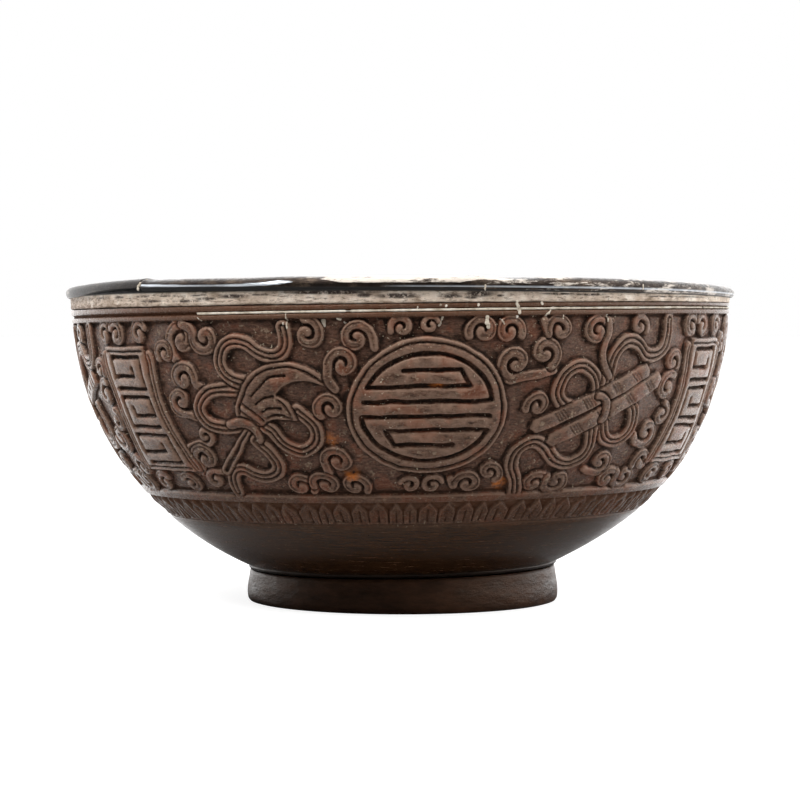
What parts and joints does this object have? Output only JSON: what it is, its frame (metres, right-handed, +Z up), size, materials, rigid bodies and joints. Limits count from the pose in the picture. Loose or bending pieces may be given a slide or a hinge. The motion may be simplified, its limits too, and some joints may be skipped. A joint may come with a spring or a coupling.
{
  "type": "bowl",
  "caption": "Round bowl cut from half a coconut shell, carved round its side, lined with thin pewter that folds over the rim, on a low turned foot ring.",
  "frame": {"origin": "middle of the foot ring's resting face", "axes": "+Z up out of the mouth, -Y towards the side the picture shows, +X to that view's right"},
  "size_m": [0.124, 0.124, 0.0592],
  "materials": {
    "coconut": "carved, waxed and worn",
    "liner_pewter": "dull, lightly hammered",
    "collar_pewter": "pale, corroded and pitted",
    "lip_pewter": "tarnished, rubbed bright along its edges",
    "foot_wood": "turned and polished",
    "lacquer": "dark, smooth"
  },
  "bodies": {
    "root": {"coconut_shell": "coconut", "pewter_liner": "liner_pewter", "rim_collar": "collar_pewter", "rim_lip": "lip_pewter", "foot_ring": "foot_wood", "foot_lacquer": "lacquer"}
  },
  "joints": []
}
